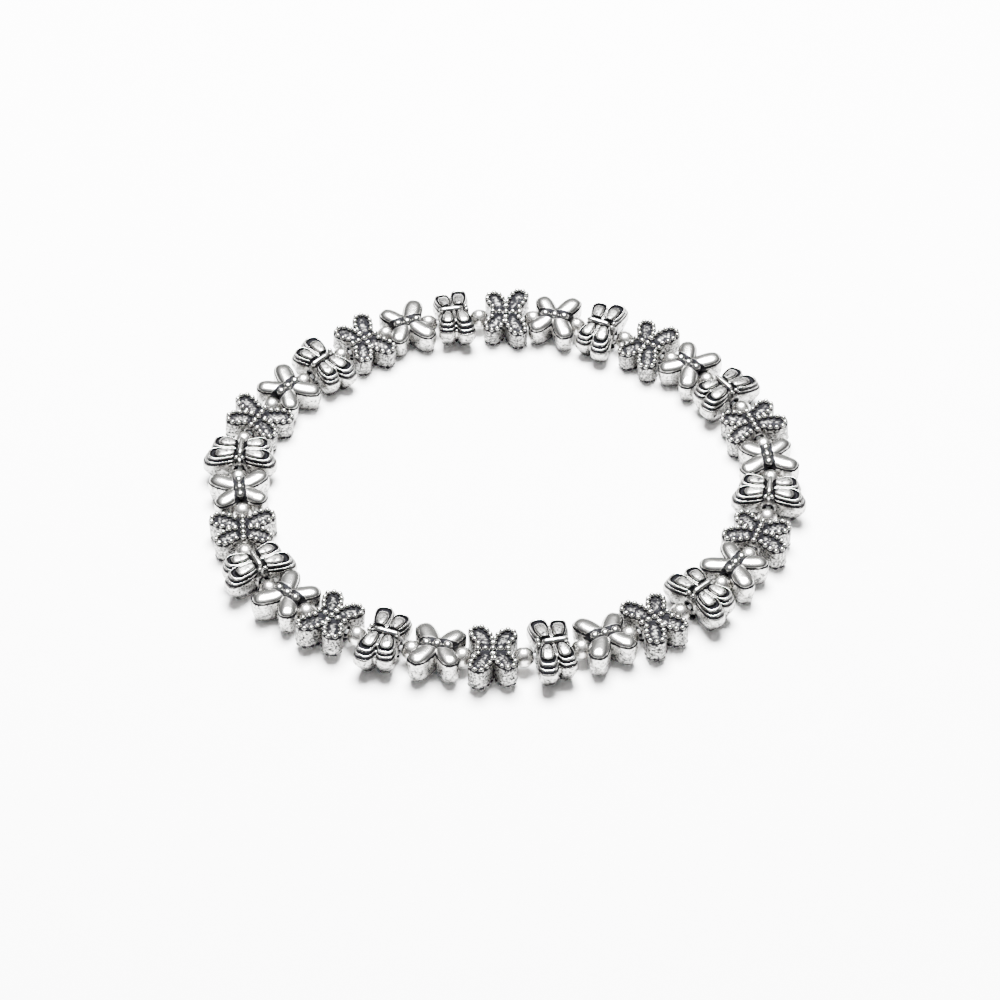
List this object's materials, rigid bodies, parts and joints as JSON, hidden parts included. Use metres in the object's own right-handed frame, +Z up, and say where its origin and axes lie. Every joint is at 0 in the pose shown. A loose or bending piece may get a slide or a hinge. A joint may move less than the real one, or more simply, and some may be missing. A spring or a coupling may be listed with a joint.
{
  "type": "stretch bracelet",
  "caption": "Closed stretch bracelet of small cast butterfly beads in three patterns, with round spacer beads between them, lying flat in a ring.",
  "frame": {"origin": "on the surface that the bracelet lies on, under the middle of its bounding box", "axes": "+X along the bracelet's longest width, +Z up through the ring, away from the surface"},
  "size_m": [0.0756, 0.0696, 0.0051],
  "materials": {
    "dotted_antique_silver": "antique silver tone, blackened in the recesses",
    "plain_antique_silver": "antique silver tone, smooth domes over pitted sides",
    "carved_antique_silver": "antique silver tone, blackened grooves",
    "polished_silver": "polished silver tone"
  },
  "bodies": {
    "root": {"dotted_butterfly_01": "dotted_antique_silver", "dotted_butterfly_02": "dotted_antique_silver", "dotted_butterfly_03": "dotted_antique_silver", "dotted_butterfly_04": "dotted_antique_silver", "dotted_butterfly_05": "dotted_antique_silver", "dotted_butterfly_06": "dotted_antique_silver", "dotted_butterfly_07": "dotted_antique_silver", "dotted_butterfly_08": "dotted_antique_silver", "dotted_butterfly_09": "dotted_antique_silver", "dotted_butterfly_10": "dotted_antique_silver", "plain_butterfly_01": "plain_antique_silver", "plain_butterfly_02": "plain_antique_silver", "plain_butterfly_03": "plain_antique_silver", "plain_butterfly_04": "plain_antique_silver", "plain_butterfly_05": "plain_antique_silver", "plain_butterfly_06": "plain_antique_silver", "plain_butterfly_07": "plain_antique_silver", "plain_butterfly_08": "plain_antique_silver", "plain_butterfly_09": "plain_antique_silver", "plain_butterfly_10": "plain_antique_silver", "carved_butterfly_01": "carved_antique_silver", "carved_butterfly_02": "carved_antique_silver", "carved_butterfly_03": "carved_antique_silver", "carved_butterfly_04": "carved_antique_silver", "carved_butterfly_05": "carved_antique_silver", "carved_butterfly_06": "carved_antique_silver", "carved_butterfly_07": "carved_antique_silver", "carved_butterfly_08": "carved_antique_silver", "carved_butterfly_09": "carved_antique_silver", "carved_butterfly_10": "carved_antique_silver", "spacer_string": "polished_silver"}
  },
  "joints": []
}
